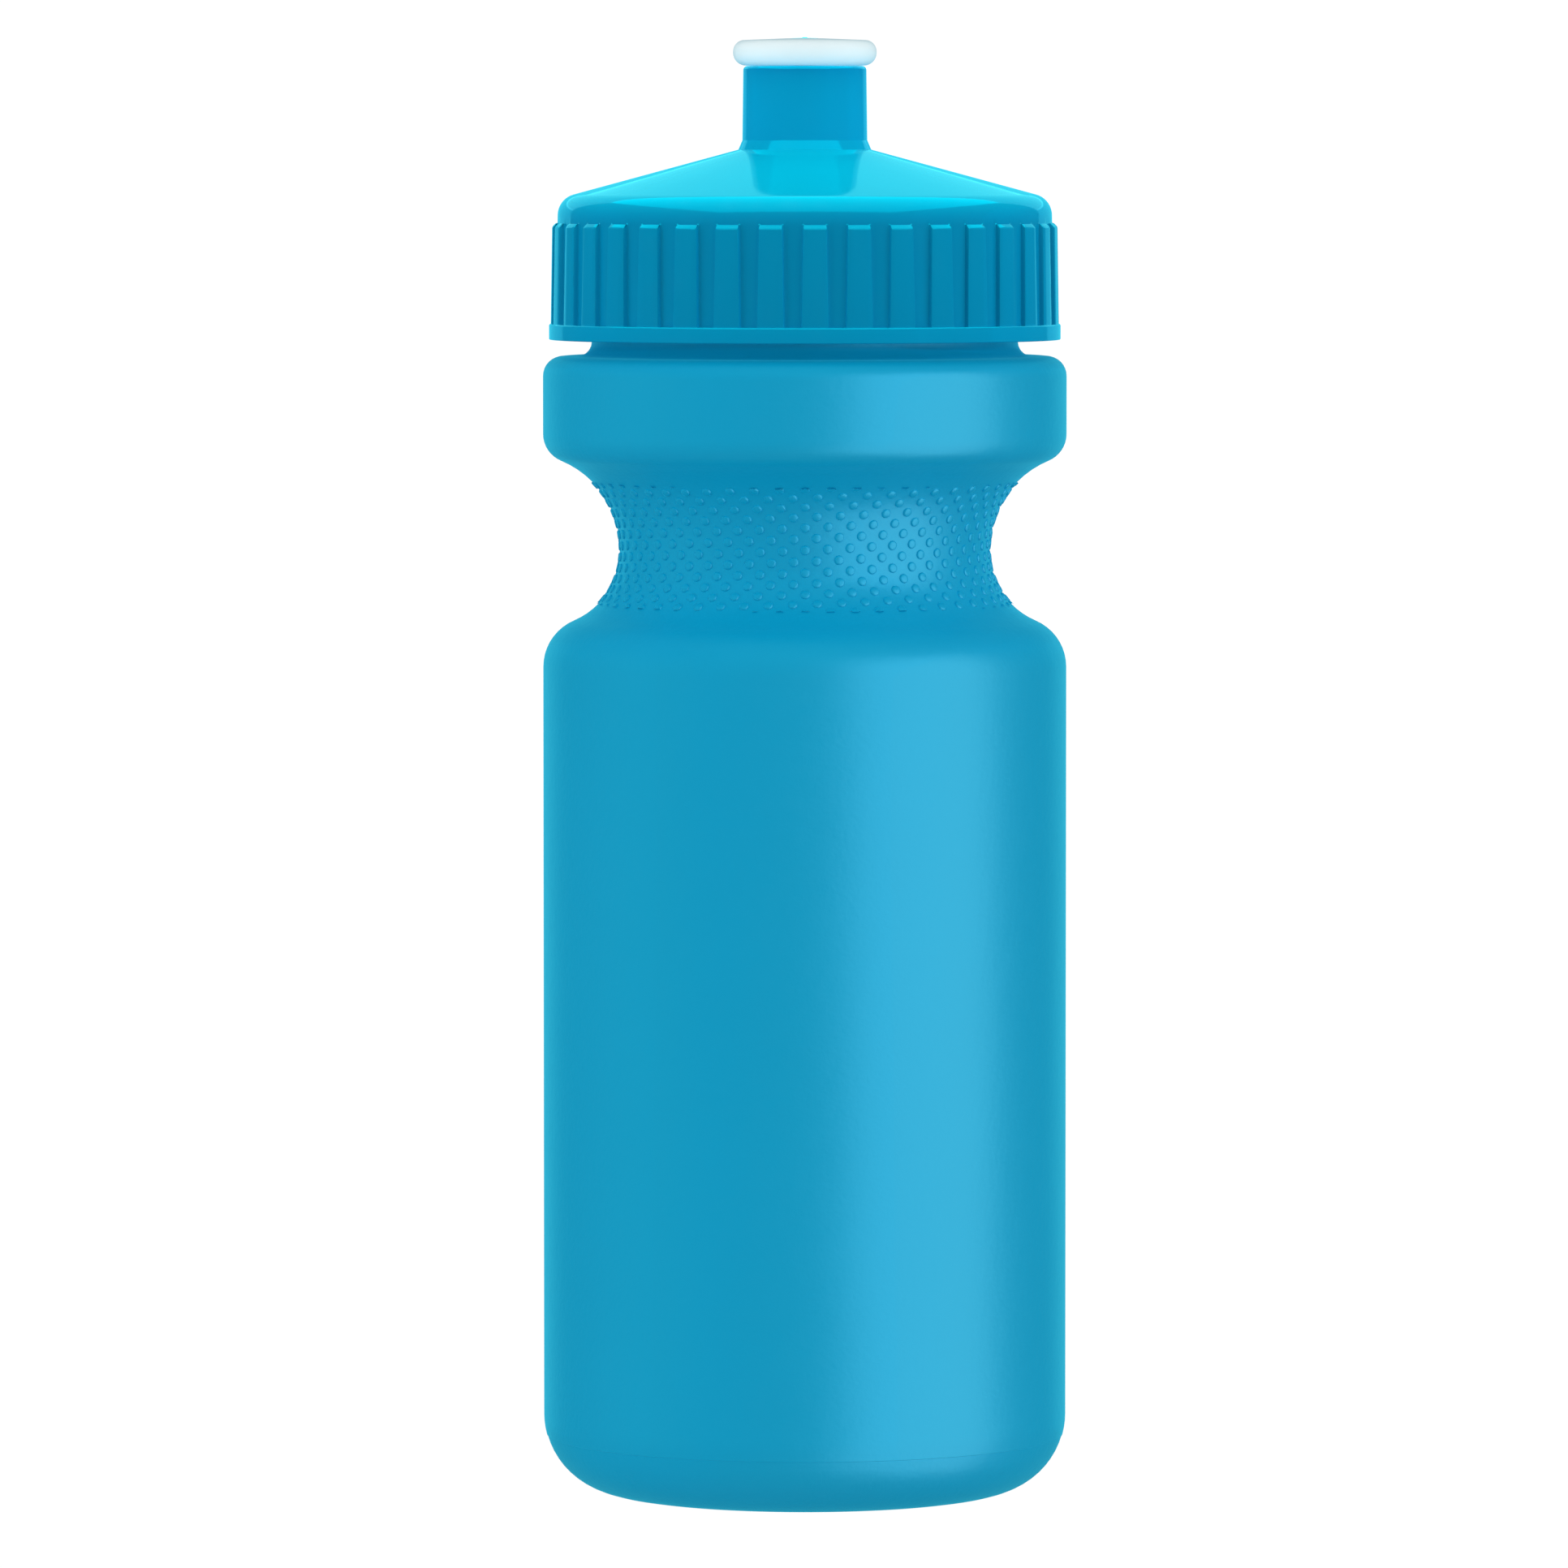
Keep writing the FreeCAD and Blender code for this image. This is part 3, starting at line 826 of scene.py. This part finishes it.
class Finish:
    """A node material with one Principled shader."""
    def __init__(self, name, **shader):
        self.material = bpy.data.materials.new(name)
        self.material.use_nodes = True
        self.tree = self.material.node_tree
        self.shader = self.tree.nodes["Principled BSDF"]
        for key, value in shader.items():
            self.feed(self.shader.inputs[key.replace("_", " ")], value)
        self.place = self.node("ShaderNodeTexCoord", {}, {})["Object"]

    def feed(self, entry, value):
        """Links a socket to an input, or sets the input to a value."""
        if isinstance(value, Socket):
            self.tree.links.new(value.output, entry)
        else:
            entry.default_value = value

    def node(self, kind, settings, inputs):
        """Adds a node, with its settings first, and gives its outputs by name."""
        node = self.tree.nodes.new(kind)
        for key, value in settings.items():
            setattr(node, key, value)
        entries = [entry for entry in node.inputs if entry.enabled]
        names = {entry.name: entry for entry in entries}
        for key, value in inputs.items():
            self.feed(names[key] if isinstance(key, str) else entries[key], value)
        return {output.name: Socket(self, output) for output in node.outputs if output.enabled}

    def set(self, key, value):
        self.feed(self.shader.inputs[key], value)

    def noise(self, size, detail=2.0):
        """Cloudy noise whose patches are about this many millimetres wide."""
        return self.node("ShaderNodeTexNoise", {}, {
            "Vector": self.place, "Scale": 1 / (size * MM), "Detail": detail})["Fac"]

    def mix(self, share, first, second):
        """From one colour to another."""
        ends = {"Factor": share, "A": first, "B": second}
        return self.node("ShaderNodeMix", {"data_type": "RGBA"}, ends)["Result"]

    def height(self):
        return self.node("ShaderNodeSeparateXYZ", {}, {"Vector": self.place})["Z"] * (1 / MM)

    def bump(self, relief, depth):
        """Raises the surface by relief times a depth in millimetres."""
        normal = self.node("ShaderNodeBump", {}, {"Height": relief, "Distance": depth * MM})["Normal"]
        self.set("Normal", normal)


# %% [markdown]
# ## The bottle's plastic
# Blown polyethylene is satin: it takes the fine grain of the sandblasted mould on a slightly wavy
# wall. The grain could be a displaced mesh, but at a twentieth of a millimetre it never shows on
# an edge, so bump is enough. The colour drifts a little where the wall is thicker.

# %% Satin blue
def colour(red, green, blue):
    """A colour given as on a paint card, 0 to 255, for a shader."""
    def linear(value):
        value /= 255
        return value / 12.92 if value <= 0.04045 else ((value + 0.055) / 1.055) ** 2.4
    return (linear(red), linear(green), linear(blue), 1.0)


satin = Finish("satin_blue_polyethylene", IOR=1.5, Specular_IOR_Level=0.5,
               Specular_Tint=(0.6, 1, 1, 1),
               Sheen_Weight=0.5, Sheen_Roughness=0.3, Sheen_Tint=(0.15, 0.8, 1, 1))
drift = satin.noise(24)
grain = satin.noise(0.9, detail=3)
waves = satin.noise(6)
satin.set("Base Color", satin.mix(drift, colour(5, 150, 192), colour(8, 153, 196)))
satin.set("Roughness", 0.31 + 0.08 * satin.noise(1.6))
satin.bump(grain + waves * 1.5, 0.03)
print("satin blue", len(satin.tree.nodes), "nodes")

# %% [markdown]
# ## The lid's plastic
# Polypropylene out of a polished mould is glossy and has almost no grain. What keeps it from looking
# painted is a very shallow waviness and a few faint rub marks on the gloss. The crown, the cone, the
# spout and the rim's band get a lighter blue than the ribs. That blue is painted light, for the extra
# light that falls on them. The spout's top edge gets the lightest blue, a painted highlight.

# %% Glossy blue
gloss = Finish("glossy_blue_polypropylene", IOR=1.49, Specular_IOR_Level=0.5)
rubbed = gloss.noise(3).steps(0.45, 0.75)
# The ribs' blue, and a lighter blue that is painted light on the crown, cone, spout and rim's band.
darker_rib_blue = gloss.mix(gloss.noise(15), colour(2, 113, 158), colour(3, 116, 161))
painted_lit_blue = gloss.mix(gloss.noise(15), colour(2, 131, 178), colour(3, 134, 181))
height = gloss.height()
# Where the painted light goes: half on the crown and the rim's band, in full on the cone and spout.
on_crown = height.steps(rib_top, rib_top + 1.2)
on_cone = height.steps(crown_corner, flare_top)
on_flange = height.steps(flange_top + 0.3, flange_top - 0.3)
# The lightest blue, just under the spout's top edge, is a painted highlight.
painted_edge_highlight = height.steps(spout_top - 0.5, spout_top - 0.15)
plastic = gloss.mix(0.5 * (on_crown + on_cone + on_flange), darker_rib_blue, painted_lit_blue)
gloss.set("Base Color", gloss.mix(painted_edge_highlight, plastic, colour(4, 175, 215)))
gloss.set("Roughness", 0.06 + 0.05 * rubbed)
gloss.bump(gloss.noise(2.5) + 0.3 * gloss.noise(0.5), 0.008)
print("glossy blue", len(gloss.tree.nodes), "nodes")

# %% [markdown]
# ## The valve's plastic and the washer's rubber
# The valve is a milky, soft plastic with hardly any gloss. The washer is matt grey rubber with a
# fine grain.

# %% Milky white
milky = Finish("milky_valve_plastic", IOR=1.49, Specular_IOR_Level=0.1)
milky.set("Base Color", milky.mix(milky.noise(4), colour(230, 247, 251), colour(233, 249, 252)))
milky.set("Roughness", 0.3 + 0.08 * milky.noise(1.2))
milky.bump(milky.noise(1.5), 0.01)

# %% Grey rubber
rubber = Finish("grey_rubber", Specular_IOR_Level=0.3)
rubber.set("Base Color", rubber.mix(rubber.noise(2), colour(205, 207, 208), colour(190, 193, 195)))
rubber.set("Roughness", 0.6 + 0.15 * rubber.noise(1))
rubber.bump(rubber.noise(0.4), 0.02)

# %% Put the finishes on
for piece, finish in ((bottle, satin), (lid, gloss), (valve, milky), (washer, rubber)):
    piece.data.materials.clear()
    piece.data.materials.append(finish.material)

# %% [markdown]
# ## The studio
# The bottle stands on a white floor before a white backdrop. A tall soft box stands to the right of
# the camera for the highlight down the bottle, and gelled panels hang over and behind the lid for
# its glossy crown and cone. Weak wrap lights from all round keep the neck's gap and the waist open.
# Each light is linked to the pieces it lights.

# %% Floor
bpy.ops.object.select_all(action="DESELECT")
bpy.ops.mesh.primitive_plane_add(size=1.4)
floor = start_piece("studio_floor")
paper = Finish("white_paper", Roughness=0.9, Specular_IOR_Level=0.0,
               Emission_Color=(1, 1, 1, 1), Emission_Strength=1.0)
paper.set("Base Color", paper.mix(paper.noise(5), (0.05, 0.05, 0.05, 1), (0.06, 0.06, 0.06, 1)))
floor.data.materials.append(paper.material)
floor.visible_glossy = False
floor.visible_shadow = False
floor.visible_diffuse = False

# %% World
world = bpy.data.worlds.new("white_studio")
bpy.context.scene.world = world
world.use_nodes = True
backdrop = world.node_tree.nodes["Background"]
light_path = world.node_tree.nodes.new("ShaderNodeLightPath")
choices = []
soft_light = (0.35, 0.35, 0.35, 1)
behind_the_bottle = (1.05, 1.05, 1.05, 1)
mirrored_by_gloss = (0.02, 0.3, 0.4, 1)
for ray, seen in (("Is Diffuse Ray", soft_light), ("Is Camera Ray", behind_the_bottle)):
    choice = world.node_tree.nodes.new("ShaderNodeMix")
    choice.data_type = "RGBA"
    world.node_tree.links.new(light_path.outputs[ray], choice.inputs[0])
    choice.inputs[7].default_value = seen
    choices.append(choice)
choices[0].inputs[6].default_value = mirrored_by_gloss
world.node_tree.links.new(choices[0].outputs[2], choices[1].inputs[6])
world.node_tree.links.new(choices[1].outputs[2], backdrop.inputs["Color"])
valve.visible_glossy = False        # so that the cone mirrors only the spout

# %% Soft boxes
aim = Vector((0, 0, 0.11))


def soft_box(name, azimuth, elevation, distance, size, watts, lit, kind="fill", gel=(1, 1, 1)):
    """An area light that looks at the bottle and lights only the pieces given as lit.

    Azimuth 0 is the camera's side, 90 is the right.  A "gloss" box only shows as a reflection, a
    "fill" box only as soft light, and a "wrap" box is fill that nothing stands in the way of."""
    around = math.radians(azimuth - 90)
    up = math.radians(elevation)
    away = Vector((math.cos(around) * math.cos(up), math.sin(around) * math.cos(up), math.sin(up)))
    bpy.ops.object.light_add(type="AREA", location=aim + away * distance)
    light = bpy.context.object
    light.name = name
    light.rotation_euler = away.to_track_quat("Z", "Y").to_euler()
    light.data.shape = "RECTANGLE"
    light.data.size, light.data.size_y = size
    light.data.energy = watts
    light.data.color = gel
    light.data.use_shadow = kind != "wrap"
    light.visible_camera = False
    light.visible_glossy = kind == "gloss"
    light.visible_diffuse = kind != "gloss"
    receivers = bpy.data.collections.new(name + "_receivers")
    for piece in lit:
        receivers.objects.link(piece)
    light.light_linking.receiver_collection = receivers


cyan = (0.15, 1, 1)
white = (1, 1, 1)
soft_box("soft_box_right", 54, -8, 1.2, (1.7, 2.5), 48, [bottle], "gloss", gel=(0.42, 0.82, 0.96))
soft_box("panel_over_lid", 0, 80, 1.0, (2.4, 2.4), 68, [lid], "gloss", gel=(0, 0.85, 1))
soft_box("panel_behind_lid", 180, 33, 1.2, (2.0, 0.8), 4.5, [lid], "gloss", gel=(0.14, 0.86, 0.94))
soft_box("panel_behind", 180, 0, 1.2, (2.0, 0.7), 2.6, [bottle, lid], "gloss", gel=(0.08, 0.8, 1))
soft_box("fill_over_lid", 0, 88, 1.0, (1.4, 1.4), 33, [lid], gel=(0.4, 0.84, 0.5))
for side, azimuth, elevation, watts, lit, gel in (
        ("front", 0, 0, 3.4, bottle, cyan),
        ("left", -82, 0, 8.5, bottle, cyan),
        ("right", 82, 0, 7.5, bottle, cyan),
        ("high", 0, 60, 8, bottle, cyan),
        ("low", 0, -60, 4, bottle, cyan),
        ("front_lid", 0, 12, 3.8, lid, cyan),
        ("left_lid", -75, 5, 12, lid, cyan),
        ("right_lid", 75, 5, 12, lid, cyan),
        ("front_valve", 0, 0, 4.8, valve, white),
        ("left_valve", -75, 0, 9, valve, white),
        ("right_valve", 75, 0, 9, valve, white),
        ("over_valve", 0, 75, 5, valve, white)):
    soft_box("wrap_" + side, azimuth, elevation, 1.2, (1.4, 1.4), watts, [lit], "wrap", gel)
for side in (-1, 1):
    soft_box("fill_lid", 75 * side, 5, 1.2, (1.2, 1.4), 4, [lid])

# %% Camera
camera_place = Vector((-0.0029, -1.6, 0.19))
camera_aim = Vector((-0.0029, 0, 0.0991))
bpy.ops.object.camera_add(location=camera_place)
camera = bpy.context.object
camera.rotation_euler = (camera_aim - camera_place).to_track_quat("-Z", "Y").to_euler()
camera.data.sensor_width = 36
camera.data.lens = 263.4
camera.data.clip_start = 0.01
bpy.context.scene.camera = camera
bpy.context.scene.view_settings.view_transform = "Standard"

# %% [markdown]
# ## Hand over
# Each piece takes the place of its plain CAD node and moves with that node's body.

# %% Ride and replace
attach(bottle, "bottle")
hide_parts("bottle_body")
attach(washer, "gasket")
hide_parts("lid_gasket")
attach(lid, "lid")
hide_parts("screw_lid")
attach(valve, "valve")
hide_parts("push_pull_valve")
